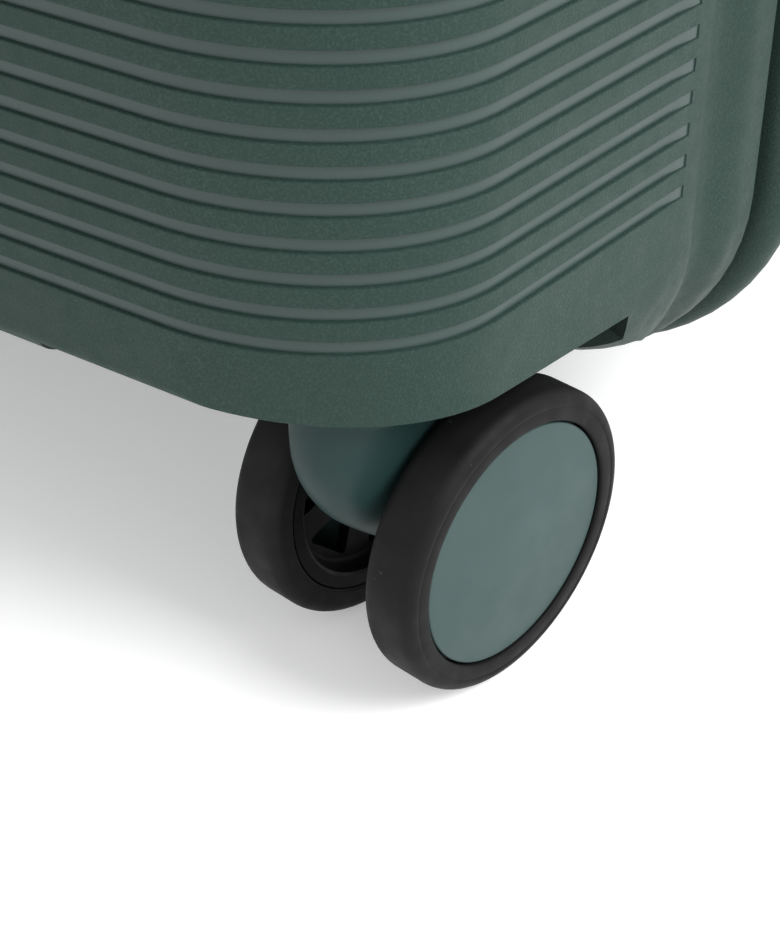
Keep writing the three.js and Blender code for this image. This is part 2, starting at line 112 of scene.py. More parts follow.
# ---- Camera ----------------------------------------------------------------------------------
CAMERA_AZIMUTH = math.radians(33.5)
CAMERA_ELEVATION = math.radians(35.9)
CAMERA_LENS = 73.4
CAMERA_PLACE = Vector((28.852, -38.457, 26.584)) * PITCH


def make_camera():
    """Looks down on the front right caster, from a place measured from the plan corner's centre."""
    corner = Vector((FACE_HALF, CORNER_DEPTH - HALF_DEPTH, GROOVE_FIRST))
    sin_a, cos_a = math.sin(CAMERA_AZIMUTH), math.cos(CAMERA_AZIMUTH)
    cos_e, sin_e = math.cos(CAMERA_ELEVATION), math.sin(CAMERA_ELEVATION)
    forward = Vector((-sin_a * cos_e, cos_a * cos_e, -sin_e))
    right = forward.cross(Vector((0, 0, 1))).normalized()
    up = right.cross(forward)
    data = bpy.data.cameras.new("camera")
    data.lens = CAMERA_LENS
    data.clip_start = 0.01
    camera = bpy.data.objects.new("camera", data)
    turn = Matrix((right, up, -forward)).transposed().to_4x4()
    camera.matrix_world = Matrix.Translation((corner + CAMERA_PLACE) / TO_MM) @ turn
    bpy.context.scene.collection.objects.link(camera)
    bpy.context.scene.camera = camera


# ---- Mesh helpers ----------------------------------------------------------------------------
def mark_sharp(mesh, angle=35.0):
    """Smooth shading, broken at edges sharper than the angle in degrees."""
    bm = bmesh.new()
    bm.from_mesh(mesh)
    limit = math.radians(angle)
    for face in bm.faces:
        face.smooth = True
    for edge in bm.edges:
        edge.smooth = len(edge.link_faces) == 2 and edge.calc_face_angle(0.0) < limit
    bm.to_mesh(mesh)
    bm.free()


def to_object(name, bm, materials=()):
    """A Blender object in metres from a bmesh in millimetres."""
    bmesh.ops.recalc_face_normals(bm, faces=bm.faces)
    bmesh.ops.scale(bm, vec=(1 / TO_MM,) * 3, verts=bm.verts)
    mesh = bpy.data.meshes.new(name)
    bm.to_mesh(mesh)
    bm.free()
    obj = bpy.data.objects.new(name, mesh)
    bpy.context.scene.collection.objects.link(obj)
    for material in materials:
        mesh.materials.append(material)
    return obj


def bake_modifiers(obj):
    """Replaces the object's mesh by the result of its modifiers."""
    bpy.context.view_layer.update()
    evaluated = obj.evaluated_get(bpy.context.evaluated_depsgraph_get())
    mesh = bpy.data.meshes.new_from_object(evaluated)
    obj.modifiers.clear()
    obj.data = mesh


def combine(target, tool, operation):
    """Boolean of two closed objects. The tool is used up, and its faces take the first material."""
    if target.data.materials:
        tool.data.materials.clear()
        tool.data.materials.append(target.data.materials[0])
        for face in tool.data.polygons:
            face.material_index = 0
    modifier = target.modifiers.new("cut", "BOOLEAN")
    modifier.object = tool
    modifier.operation = operation
    modifier.solver = "MANIFOLD"
    bake_modifiers(target)
    bpy.data.objects.remove(tool)


def settle(obj, body, slot, *nodes, angle=35.0):
    """Shades a finished piece, lets it ride on its body and stand for its CAD nodes."""
    mark_sharp(obj.data, angle)
    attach(obj, body)
    if nodes:
        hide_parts(*nodes)
    return obj


def add_rings(bm, rings, closed=True, cap=True):
    """Skin through rings of points with equal counts."""
    rows = [[bm.verts.new(point) for point in ring] for ring in rings]
    count = len(rows[0])
    span = count if closed else count - 1
    for lower, upper in zip(rows, rows[1:]):
        for i in range(span):
            j = (i + 1) % count
            bm.faces.new((lower[i], lower[j], upper[j], upper[i]))
    if cap:
        bm.faces.new(rows[0])
        bm.faces.new(rows[-1])
    return rows


def revolve(profile, segments=96):
    """Closed ring or disc about the X axis from points (radius, distance along X)."""
    bm = bmesh.new()
    rows = []
    for radius, along in profile:
        angles = [2 * math.pi * i / segments for i in range(segments)]
        rows.append([(along, radius * math.cos(a), radius * math.sin(a)) for a in angles])
    add_rings(bm, rows + [rows[0]], cap=False)
    bmesh.ops.remove_doubles(bm, verts=bm.verts, dist=1e-4)
    return bm


def rounded(points, radius, steps=5):
    """The closed outline through points, with each corner turned into an arc-like curve."""
    result = []
    count = len(points)
    for i, point in enumerate(points):
        corner = Vector(point)
        before, after = Vector(points[i - 1]), Vector(points[(i + 1) % count])
        reach = min(radius, (before - corner).length / 2.01, (after - corner).length / 2.01)
        start = corner + (before - corner).normalized() * reach
        end = corner + (after - corner).normalized() * reach
        for k in range(steps + 1):
            t = k / steps
            result.append(tuple(start * (1 - t) ** 2 + corner * 2 * t * (1 - t) + end * t * t))
    return result


# ---- Materials -------------------------------------------------------------------------------
class Surface:
    """A Principled material with procedural grain, built step by step."""

    def __init__(self, name, color, roughness, metallic=0.0, specular=0.5):
        self.material = bpy.data.materials.new(name)
        self.material.use_nodes = True
        self.nodes = self.material.node_tree.nodes
        self.links = self.material.node_tree.links
        self.shader = self.nodes["Principled BSDF"]
        self.place = self.nodes.new("ShaderNodeTexCoord").outputs["Object"]
        self.shader.inputs["Base Color"].default_value = (*color, 1)
        self.shader.inputs["Roughness"].default_value = roughness
        self.shader.inputs["Metallic"].default_value = metallic
        self.shader.inputs["Specular IOR Level"].default_value = specular
        self.color = color
        self.bump = None

    def noise(self, size_mm, detail=2.0, stretch=(1, 1, 1)):
        """Noise whose features are about size_mm across, longer along an axis stretched above 1."""
        mapping = self.nodes.new("ShaderNodeMapping")
        mapping.inputs["Scale"].default_value = [TO_MM / size_mm / k for k in stretch]
        self.links.new(self.place, mapping.inputs["Vector"])
        texture = self.nodes.new("ShaderNodeTexNoise")
        texture.inputs["Scale"].default_value = 1.0
        texture.inputs["Detail"].default_value = detail
        self.links.new(mapping.outputs["Vector"], texture.inputs["Vector"])
        return texture.outputs["Fac"]

    def ramp(self, value, low, high, start=0.0, end=1.0):
        """Maps value from start..end to low..high."""
        node = self.nodes.new("ShaderNodeMapRange")
        for socket, number in zip(("From Min", "From Max", "To Min", "To Max"),
                                  (start, end, low, high)):
            node.inputs[socket].default_value = number
        self.links.new(value, node.inputs["Value"])
        return node.outputs["Result"]

    def tint(self, value, color, amount=1.0):
        """Mixes a colour in where value is high."""
        mix = self.nodes.new("ShaderNodeMix")
        mix.data_type = "RGBA"
        socket = self.shader.inputs["Base Color"]
        if socket.is_linked:
            self.links.new(socket.links[0].from_socket, mix.inputs["A"])
        else:
            mix.inputs["A"].default_value = socket.default_value
        mix.inputs["B"].default_value = (*color, 1)
        factor = self.ramp(value, 0.0, amount)
        self.links.new(factor, mix.inputs["Factor"])
        self.links.new(mix.outputs["Result"], socket)
        return self

    def rough(self, value, low, high):
        self.links.new(self.ramp(value, low, high, 0.3, 0.7), self.shader.inputs["Roughness"])
        return self

    def raise_by(self, value, height_mm, strength=1.0):
        """Adds a layer of bump."""
        node = self.nodes.new("ShaderNodeBump")
        node.inputs["Distance"].default_value = height_mm / TO_MM
        node.inputs["Strength"].default_value = strength
        self.links.new(value, node.inputs["Height"])
        if self.bump is not None:
            self.links.new(self.bump, node.inputs["Normal"])
        self.bump = node.outputs["Normal"]
        self.links.new(self.bump, self.shader.inputs["Normal"])
        return self


def grained_shell():
    """Moulded polycarbonate with a fine spark-eroded grain."""
    surface = Surface("grained_shell", (0.019, 0.039, 0.032), 0.52, specular=0.16)
    grain = surface.noise(0.42, 3.0)
    surface.tint(surface.ramp(grain, 0.0, 1.0, 0.45, 0.70), (0.036, 0.064, 0.054), 0.8)
    surface.tint(surface.ramp(surface.noise(60, 2.0), 0.0, 1.0, 0.4, 0.7), (0.016, 0.034, 0.028), 0.5)
    surface.rough(surface.noise(4.0), 0.46, 0.58)
    return surface.raise_by(grain, 0.14, 0.85).material


def groove_floor():
    """The smooth, glossier floors of the grooves."""
    surface = Surface("groove_floor", (0.038, 0.062, 0.058), 0.3, specular=0.32)
    surface.tint(surface.noise(25, 2.0), (0.032, 0.055, 0.051), 0.6)
    surface.rough(surface.noise(9, 2.0), 0.27, 0.36)
    return surface.raise_by(surface.noise(3.0, 2.0), 0.02, 0.3).material


def smooth_plastic(name, color, roughness):
    """Satin moulded plastic with faint flow marks and dust."""
    surface = Surface(name, color, roughness, specular=0.17)
    lighter = tuple(c * 1.3 + 0.004 for c in color)
    surface.tint(surface.ramp(surface.noise(22, 3.0), 0.0, 1.0, 0.45, 0.75), lighter, 0.35)
    surface.tint(surface.ramp(surface.noise(0.5, 2.0), 0.0, 1.0, 0.6, 0.8), lighter, 0.5)
    surface.rough(surface.noise(7), roughness - 0.05, roughness + 0.07)
    return surface.raise_by(surface.noise(0.35, 2.0), 0.02, 0.35).material


def tyre_rubber():
    """Dull black rubber with dust and fine scuffs."""
    surface = Surface("tyre_rubber", (0.007, 0.007, 0.007), 0.6, specular=0.13)
    surface.tint(surface.ramp(surface.noise(12, 4.0), 0.0, 1.0, 0.45, 0.75), (0.012, 0.012, 0.012), 0.7)
    surface.tint(surface.ramp(surface.noise(0.9, 1.0), 0.0, 1.0, 0.76, 0.80), (0.06, 0.058, 0.055), 0.4)
    surface.rough(surface.noise(5), 0.52, 0.68)
    return surface.raise_by(surface.noise(0.3, 3.0), 0.03, 0.5).material


def black_plastic(name, roughness=0.45):
    surface = Surface(name, (0.003, 0.0033, 0.0033), roughness, specular=0.09)
    surface.tint(surface.ramp(surface.noise(8, 3.0), 0.0, 1.0, 0.5, 0.8), (0.007, 0.0075, 0.0075), 0.6)
    surface.rough(surface.noise(3), roughness - 0.06, roughness + 0.10)
    return surface.raise_by(surface.noise(0.4, 2.0), 0.04, 0.5).material


def metal(name, color, roughness, stretch):
    """Drawn metal: its grain runs along the axis that stretch lengthens."""
    surface = Surface(name, color, roughness, metallic=1.0)
    lines = surface.noise(0.25, 2.0, stretch)
    surface.tint(surface.ramp(surface.noise(30, 2.0), 0.0, 1.0, 0.4, 0.8),
                 tuple(c * 0.8 for c in color), 0.5)
    surface.rough(lines, roughness - 0.08, roughness + 0.08)
    return surface.raise_by(lines, 0.01, 0.4).material


def woven_lining():
    """Plain woven polyester, warp and weft about 0.6 mm apart."""
    surface = Surface("woven_lining", (0.10, 0.115, 0.112), 0.85, specular=0.25)
    surface.shader.inputs["Sheen Weight"].default_value = 0.25
    waves = []
    for direction in ("X", "Z"):
        wave = surface.nodes.new("ShaderNodeTexWave")
        wave.bands_direction = direction
        wave.inputs["Scale"].default_value = TO_MM / 0.6 / 20
        wave.inputs["Distortion"].default_value = 0.6
        surface.links.new(surface.place, wave.inputs["Vector"])
        waves.append(wave.outputs["Fac"])
    weave = surface.nodes.new("ShaderNodeMath")
    weave.operation = "MAXIMUM"
    for socket, wave in zip(weave.inputs, waves):
        surface.links.new(wave, socket)
    surface.tint(weave.outputs["Value"], (0.16, 0.18, 0.175), 0.6)
    surface.tint(surface.ramp(surface.noise(70, 3.0), 0.0, 1.0, 0.4, 0.7), (0.075, 0.09, 0.088), 0.6)
    surface.raise_by(weave.outputs["Value"], 0.12, 0.5)
    return surface.raise_by(surface.noise(45, 3.0), 2.5, 0.35).material


# ---- Shell -----------------------------------------------------------------------------------
def smooth_step(t):
    t = min(1.0, max(0.0, t))
    return t * t * (3 - 2 * t)


class Rim:
    """Offset of the outer skin from the plain side wall: a valley, then the rounded lip."""

    def __init__(self, valley, crest, fall, bend):
        self.start, self.lowest, self.depth = valley
        self.crest_s, self.crest = crest
        self.fall = fall                      # loss of height from the crest to the edge
        self.bend_s, self.bend_h = bend       # the quarter bend at the edge

    def relief(self, s):
        if s <= self.lowest:
            return self.depth * smooth_step((s - self.start) / (self.lowest - self.start))
        if s <= self.crest_s:
            t = smooth_step((s - self.lowest) / (self.crest_s - self.lowest))
            return self.depth + (self.crest - self.depth) * t
        t = (s - self.crest_s) / (LIP_EDGE - self.crest_s)
        k = min(1.0, max(0.0, (s - LIP_EDGE + self.bend_s) / self.bend_s))
        return self.crest - self.fall * t - self.bend_h * (1 - math.sqrt(1 - k * k))

    def stations(self):
        """Depths of the columns that run from the flat face to the seam."""
        arc = [CORNER_DEPTH * (1 - math.cos(ARC_END * i / 22)) for i in range(23)]
        side = [37 + 6 * i for i in range(8)]
        side += [GROOVE_END - 4, GROOVE_END - 2, GROOVE_END, GROOVE_END + 0.12, self.start]
        bend_start = LIP_EDGE - self.bend_s
        valley = [self.start + (bend_start - self.start) * i / 14 for i in range(1, 15)]
        edge = [LIP_EDGE - self.bend_s * (1 - math.sin(math.pi / 2 * i / 10)) for i in range(1, 11)]
        return arc + side + valley + edge


FRONT_RIM = Rim((88.8, 94.8, -1.8), (104.5, 0.9), 0.5, (3.2, 3.2))
REAR_RIM = Rim((88.8, 94.8, -1.0), (106.0, 5.4), 0.0, (6.9, 6.4))


def half_width(s, inset):
    arc_depth = CORNER_DEPTH * (1 - math.cos(ARC_END))
    if s > arc_depth:
        return (FACE_HALF + CORNER_WIDTH * math.sin(ARC_END) - inset
                + math.tan(FLARE) * (s - arc_depth))
    k = min(1.0, max(0.0, (CORNER_DEPTH - s) / (CORNER_DEPTH - inset)))
    return FACE_HALF + (CORNER_WIDTH - inset) * math.sqrt(1 - k * k)


def drawn_in(form, s, inset):
    """How far the bottom or the top lies inside the lip's level at depth s."""
    height, depth, slope = form
    k = min(1.0, max(0.0, (depth - s) / (depth - inset)))
    bend = max(0.0, height - inset) * (1 - math.sqrt(1 - k * k))
    return inset + bend + slope * max(0.0, LIP_EDGE - s)


def bottom(s, inset):
    return SEAM_BOTTOM + drawn_in(BOTTOM_FORM, s, inset)


def top(s, inset):
    return SEAM_TOP - drawn_in(TOP_FORM, s, inset)


def lower_radius(s, inset):
    start, end = CORNER_GROWTH
    growth = smooth_step((s - start) / (end - start))
    centre = LOWER_CORNER_TOP + (SEAM_BOTTOM + SEAM_CORNER - LOWER_CORNER_TOP) * growth
    return max(FACE_CORNER, centre - bottom(s, 0) - inset)


def upper_radius(s, inset):
    drop = 1 - drawn_in(TOP_FORM, s, 0) / drawn_in(TOP_FORM, 0, 0)
    return max(FACE_CORNER, SEAM_CORNER * drop - inset)


def end_ring(s, inset, upper, corner_steps=14, straight_steps=8):
    """Lower or upper part of the cross-section at depth s, from the right wall to the left."""
    wide = half_width(s, inset)
    if upper:
        level, radius, grid, sign = top(s, inset), upper_radius(s, inset), GRID_HIGH, 1
    else:
        level, radius, grid, sign = bottom(s, inset), lower_radius(s, inset), GRID_LOW, -1
    centre = level - sign * radius
    right = [(wide, grid + (centre - grid) * i / 3) for i in range(3)]
    for i in range(corner_steps + 1):
        angle = math.pi / 2 * i / corner_steps
        right.append((wide - radius + radius * math.cos(angle),
                      centre + sign * radius * math.sin(angle)))
    flat = wide - radius
    middle = [(flat - 2 * flat * i / straight_steps, level) for i in range(1, straight_steps)]
    ring = right + middle + [(-x, z) for x, z in reversed(right)]
    return [(x, s - HALF_DEPTH, z) for x, z in ring]


def full_ring(s, inset):
    return end_ring(s, inset, False) + end_ring(s, inset, True)[::-1]


def groove_share(s):
    """Share of a groove's depth at depth s. It grows shallow and ends in a low step."""
    if s > GROOVE_END:
        return 0.0
    return 1 - (1 - GROOVE_STEP) * smooth_step((s - GROOVE_END + GROOVE_RUNOUT) / GROOVE_RUNOUT)


def plan_columns(rim):
    """Points (x, s, outward normal, groove share) of a level section, from lip to lip."""
    right = []
    for s in rim.stations():
        wide = half_width(s, -rim.relief(s))
        if s <= CORNER_DEPTH * (1 - math.cos(ARC_END)):
            angle = math.acos(max(-1.0, min(1.0, 1 - s / CORNER_DEPTH)))
            normal = Vector((math.sin(angle) / CORNER_WIDTH, -math.cos(angle) / CORNER_DEPTH))
        else:
            normal = Vector((math.cos(FLARE), -math.sin(FLARE)))
        right.append((wide, s, normal.normalized(), groove_share(s)))
    left = [(-x, s, Vector((-n.x, n.y)), share) for x, s, n, share in reversed(right)]
    face = [(-FACE_HALF + FACE_HALF * i / 4, 0.0, Vector((0, -1)), 1.0) for i in range(1, 8)]
    return left + face + right


def groove_rows():
    """Heights and depths of the rows of the flat zone. A groove floor lies between two rows at full
    depth.
    """
    rows = [(GRID_LOW, 0.0)]
    lowest = GROOVE_FIRST
    while lowest + GROOVE_PROFILE[-1][0] < GRID_HIGH:
        rows += [(lowest + z, depth) for z, depth in GROOVE_PROFILE]
        lowest += PITCH
    return rows + [(GRID_HIGH, 0.0)]


def outer_body(rim):
    """The solid half, with the grooves cut into its skin. Material 1 is the groove floor."""
    bm = bmesh.new()
    columns, rows = plan_columns(rim), groove_rows()
    grid = []
    for z, depth in rows:
        line = []
        for x, s, normal, share in columns:
            cut = depth * share
            line.append(bm.verts.new((x - normal.x * cut, s - normal.y * cut - HALF_DEPTH, z)))
        grid.append(line)
    for (_, depth), (_, depth_up), lower, upper in zip(rows, rows[1:], grid, grid[1:]):
        floor = depth == depth_up == GROOVE_DEPTH
        for i in range(len(columns) - 1):
            face = bm.faces.new((lower[i], lower[i + 1], upper[i + 1], upper[i]))
            face.material_index = int(floor and min(columns[i][3], columns[i + 1][3]) > 0)
    for upper in (False, True):
        rings = [end_ring(s, -rim.relief(s), upper) for s in rim.stations()]
        add_rings(bm, rings, closed=False, cap=False)
    bmesh.ops.remove_doubles(bm, verts=bm.verts, dist=1e-4)
    open_edges = [edge for edge in bm.edges if edge.is_boundary]
    bmesh.ops.edgeloop_fill(bm, edges=open_edges)
    return bm


def inner_body(inset, lip_inset, end):
    """The half's form at a constant inset, drawn in a little more beside the seam."""
    depths = [CORNER_DEPTH - (CORNER_DEPTH - inset) * math.cos(ARC_END * i / 12) for i in range(13)]
    depths += [40, 48, 56, 64, 72, 80, 88, 96, 101, 104, LIP_EDGE, end]
    bm = bmesh.new()
    rings = []
    for s in depths:
        extra = (lip_inset - inset) * smooth_step((s - 96) / 8)
        ring = full_ring(min(s, LIP_EDGE), inset + extra)
        rings.append([(x, s - HALF_DEPTH, z) for x, _, z in ring])
    add_rings(bm, rings)
    bmesh.ops.remove_doubles(bm, verts=bm.verts, dist=1e-4)
    return bm


def pocket_ceiling(s):
    return POCKET_FRONT_Z - POCKET_SLOPE * (s - WALL)


def round_space(centre, low_r, high_r, low_z, high_z, segments=128):
    """Upright cylinder or cone; high_z may be a function of the depth s."""
    rings = []
    for radius, level in ((low_r, low_z), (high_r, high_z)):
        ring = []
        for i in range(segments):
            angle = 2 * math.pi * i / segments
            x, y = centre.x + radius * math.cos(angle), centre.y + radius * math.sin(angle)
            ring.append((x, y, level(y + HALF_DEPTH) if callable(level) else level))
        rings.append(ring)
    bm = bmesh.new()
    add_rings(bm, rings)
    return to_object("space", bm)


def pocket(side, larger):
    """Space above a front caster: round under a falling ceiling, and flared below like an arch."""
    centre = swivel_place(f"front_{side}")
    radius = POCKET_R + larger
    space = round_space(centre, radius, radius, -5, lambda s: pocket_ceiling(s) + larger)
    arch_r = POCKET_R + larger * math.hypot(1, ARCH_FLARE)
    arch = round_space(centre, arch_r + ARCH_FLARE * (ARCH_TOP + 5), arch_r, -5, ARCH_TOP)
    end = ARCH_END - HALF_DEPTH + larger
    combine(arch, to_object("tool", block((-400, -400, -10), (400, end, 90))), "INTERSECT")
    combine(space, arch, "UNION")
    return space


def swivel_place(caster):
    return Vector(JOINTS[f"caster_{caster}_swivel"]["pos_m"]) * TO_MM


def block(low, high):
    bm = bmesh.new()
    bmesh.ops.create_cube(bm, size=1.0)
    size = Vector(high) - Vector(low)
    middle = (Vector(high) + Vector(low)) / 2
    bmesh.ops.scale(bm, vec=size, verts=bm.verts)
    bmesh.ops.translate(bm, vec=middle, verts=bm.verts)
    return bm


def half_shell(name, rim, materials):
    """One half, drawn as the front one."""
    shell = to_object(name, outer_body(rim), materials)
    combine(shell, to_object("tool", inner_body(WALL, LIP_WALL, LIP_EDGE + 6)), "DIFFERENCE")
    for side in ("right", "left"):
        cup = pocket(side, POCKET_WALL)
        combine(cup, to_object("tool", inner_body(1.2, 2.0, LIP_EDGE)), "INTERSECT")
        combine(shell, cup, "UNION")
        combine(shell, pocket(side, 0.0), "DIFFERENCE")
    return shell


def mirror_to_rear(obj):
    bm = bmesh.new()
    bm.from_mesh(obj.data)
    bmesh.ops.scale(bm, vec=(1, -1, 1), verts=bm.verts)
    bmesh.ops.reverse_faces(bm, faces=bm.faces)
    bm.to_mesh(obj.data)
    bm.free()


def rear_cuts():
    """Blocks cut from the rear half: the trolley handle's recess, and flats for the metalwork."""
    gap = Vector((0.3, 0.3, 1.0))
    low, high = box_mm("trolley_bezel")
    yield low - gap, Vector((high.x, high.y, high.z + 30)) + gap
    hinge_low, hinge_high = box_mm("hinge_rear_leaf")
    yield (-200, 0, hinge_low.z - 1), (hinge_high.x - 0.1, PLATE_ZONE, hinge_high.z + 1)
    latch_low, latch_high = box_mm("latch_plate")
    yield (latch_low.x - 0.3, 0, latch_low.z - 1), (200, PLATE_ZONE, latch_high.z + 1)
    yield from leg_slots()


def leg_slots():
    """Slots for the legs of the two carry handles."""
    half, deep = LEG_SLOT
    low, high = box_mm("top_handle")
    y = (low.y + high.y) / 2
    for x in (low.x + LEG_INSET, high.x - LEG_INSET):
        yield (x - half, y - deep, low.z), (x + half, y + deep, high.z)
    low, high = box_mm("side_handle")
    y = (low.y + high.y) / 2
    seat_half, seat_deep, seat_height = STOP_SEAT
    for z in (low.z + LEG_INSET, high.z - LEG_INSET):
        yield (low.x, y - deep, z - half), (high.x, y + deep, z + half)
        yield (low.x, y - seat_deep, z - seat_half), (low.x + seat_height, y + seat_deep, z + seat_half)


def make_shells():
    materials = [grained_shell(), groove_floor()]
    front = half_shell("front_shell_skin", FRONT_RIM, materials)
    rear = half_shell("rear_shell_skin", REAR_RIM, materials)
    mirror_to_rear(rear)
    for low, high in rear_cuts():
        combine(rear, to_object("tool", block(low, high)), "DIFFERENCE")
    settle(front, "front_case", "shell", "front_shell", angle=28)
    settle(rear, "rear_case", "shell", "rear_shell", angle=28)


# ---- Wheels ----------------------------------------------------------------------------------
IN_FACE, OUT_FACE = 10.5, 21.7
CAP_OUT, CAP_IN = 21.1, 19.9
CAP_R = 23.5
TYRE_SEAT_R = 24.1


def arc_points(centre, radius, start, end, steps=8):
    """Points (r, out) of an arc; angle 0 points to larger r, 90 degrees to larger out."""
    angles = [math.radians(start + (end - start) * i / steps) for i in range(steps + 1)]
    return [(centre[0] + radius * math.cos(a), centre[1] + radius * math.sin(a)) for a in angles]


def tyre_mesh():
    shoulder = 2.6
    profile = [(TYRE_SEAT_R, IN_FACE + 0.5), (TYRE_SEAT_R + 0.5, IN_FACE + 0.05)]
    profile += arc_points((WHEEL_R - shoulder, IN_FACE + shoulder), shoulder, -90, 0)
    profile += arc_points((WHEEL_R - shoulder, OUT_FACE - shoulder), shoulder, 0, 90)
    profile += [(WHEEL_R - shoulder - 0.25, OUT_FACE - 0.12), (WHEEL_R - shoulder - 0.5, OUT_FACE)]
    profile += arc_points((TYRE_SEAT_R + 0.4, OUT_FACE - 0.6), 0.6, 90, 180, 4)
    profile += [(TYRE_SEAT_R - 0.1, CAP_IN + 0.2)]
    return revolve(profile, 144)


def cap_mesh():
    edge = 0.35
    profile = [(0.0, CAP_OUT + 0.05), (CAP_R - edge, CAP_OUT)]
    profile += arc_points((CAP_R - edge, CAP_OUT - edge), edge, 90, 0, 4)
    profile += [(CAP_R, CAP_IN), (0.0, CAP_IN)]
    return revolve(profile, 144)


def hub_mesh():
    """Rim, disc and boss; the openings between the spokes are cut afterwards."""
    rim = TYRE_SEAT_R - 0.3
    profile = [(AXLE_BORE_R, IN_FACE), (7.0, IN_FACE), (7.6, IN_FACE + 0.6), (8.0, IN_FACE + 4.2),
               (19.4, IN_FACE + 4.2), (20.2, IN_FACE + 3.4), (20.8, IN_FACE + 0.9),
               (21.4, IN_FACE + 0.5), (rim, IN_FACE + 0.5), (rim, CAP_IN - 0.3),
               (20.6, CAP_IN - 0.3), (19.8, IN_FACE + 6.6), (8.4, IN_FACE + 6.6), (7.4, CAP_IN - 0.3),
               (AXLE_BORE_R, CAP_IN - 0.3)]
    return revolve(profile, 96)


def spoke_window(angle):
    """Wedge-shaped opening between two spokes."""
    inner, outer, spread = 9.4, 18.8, math.radians(20)
    corners = [(inner, -0.55 * spread), (outer, -spread), (outer, spread), (inner, 0.55 * spread)]
    points = [(r * math.cos(angle + a), r * math.sin(angle + a)) for r, a in corners]
    ring = rounded(points, 1.8, 4)
    bm = bmesh.new()
    add_rings(bm, [[(x, p, q) for p, q in ring] for x in (IN_FACE - 1, CAP_IN + 1)])
    return bm


def wheel_matrix(name):
    """Places a wheel made about +X with its outer face at +X on its spin joint."""
    joint = JOINTS[f"wheel_{name}_spin"]
    outward = Vector(joint["axis"]) * (1 if name.endswith("right") else -1)
    across = Vector((0, 0, 1)).cross(outward)
    turn = Matrix((outward, across, Vector((0, 0, 1)))).transposed().to_4x4()
    return Matrix.Translation(joint["pos_m"]) @ turn


def instance(source, name, matrix):
    """A copy of a mesh with the matrix worked into its vertices."""
    mesh = source.data.copy()
    mesh.transform(matrix)
    obj = bpy.data.objects.new(name, mesh)
    bpy.context.scene.collection.objects.link(obj)
    return obj


CASTERS = ("front_right", "front_left", "rear_right", "rear_left")


def make_wheels():
    rubber = tyre_rubber()
    disc = smooth_plastic("wheel_cap", (0.038, 0.067, 0.064), 0.42)
    black = black_plastic("wheel_hub", 0.38)
    tyre = to_object("tyre_source", tyre_mesh(), [rubber])
    cap = to_object("cap_source", cap_mesh(), [disc])
    hub = to_object("hub_source", hub_mesh(), [black])
    for k in range(SPOKES):
        window = spoke_window(math.radians(360 / SPOKES * k + SPOKE_TURN))
        combine(hub, to_object("tool", window), "DIFFERENCE")
    for caster in CASTERS:
        for side in ("right", "left"):
            name = f"{caster}_{side}"
            matrix = wheel_matrix(name)
            for kind, source, slot in (("tyre", tyre, "tyre"), ("cap", cap, "wheel_cap"),
                                       ("hub", hub, "wheel_hub")):
                piece = instance(source, f"{kind}_{name}_fine", matrix)
                settle(piece, f"wheel_{name}", slot, f"{kind}_{name}", angle=32)
    for source in (tyre, cap, hub):
        bpy.data.objects.remove(source)


# ---- Fork ------------------------------------------------------------------------------------
HORN = [   # height, leading edge, trailing edge, half width of the nose, of the web, of the heel
    (62.7, -12.6, 24.0, 9.8, 9.8, 9.8),
    (57.0, -12.8, 25.5, 9.8, 9.8, 9.8),
    (51.0, -12.4, 26.0, 9.7, 9.6, 9.6),
    (45.0, -10.4, 26.5, 9.2, 9.0, 9.2),
    (39.0, -6.6, 27.0, 8.2, 7.6, 8.8),
    (34.0, -1.6, 27.4, 7.0, 5.6, 8.6),
    (29.5, 3.6, 27.4, 5.8, 4.6, 8.6),
    (25.0, 9.0, 26.6, 5.0, 4.4, 8.2),
    (21.5, 14.0, 24.5, 4.2, 4.2, 6.0),
    (19.8, 17.0, 22.0, 2.4, 2.6, 2.8),
]


def between(table, t):
    """Catmull-Rom value at t from 0 to 1 through the rows of a table."""
    place = t * (len(table) - 1)
    i = min(int(place), len(table) - 2)
    u = place - i
    p0, p1 = table[max(i - 1, 0)], table[i]
    p2, p3 = table[i + 1], table[min(i + 2, len(table) - 1)]
    return [0.5 * (2 * b + (c - a) * u + (2 * a - 5 * b + 4 * c - d) * u * u
                   + (3 * b - a - 3 * c + d) * u ** 3) for a, b, c, d in zip(p0, p1, p2, p3)]


def horn_ring(row, steps=28):
    """Section of the horn: a round nose, a waist that the web draws in, and a round heel."""
    z, lead, back, nose, web, heel = row
    side = []
    for i in range(steps + 1):
        t = (1 - math.cos(math.pi * i / steps)) / 2
        width = nose + (web - nose) * smooth_step(t / 0.45)
        width += (heel - web) * smooth_step((t - 0.45) / 0.35)
        ends = (1 - abs(2 * t - 1) ** 3.2) ** 0.5
        side.append((width * ends, lead + (back - lead) * t, z))
    return side + [(-x, y, z) for x, y, z in reversed(side[1:-1])]


def fork_mesh():
    bm = bmesh.new()
    add_rings(bm, [horn_ring(between(HORN, i / 44)) for i in range(45)])
    return bm


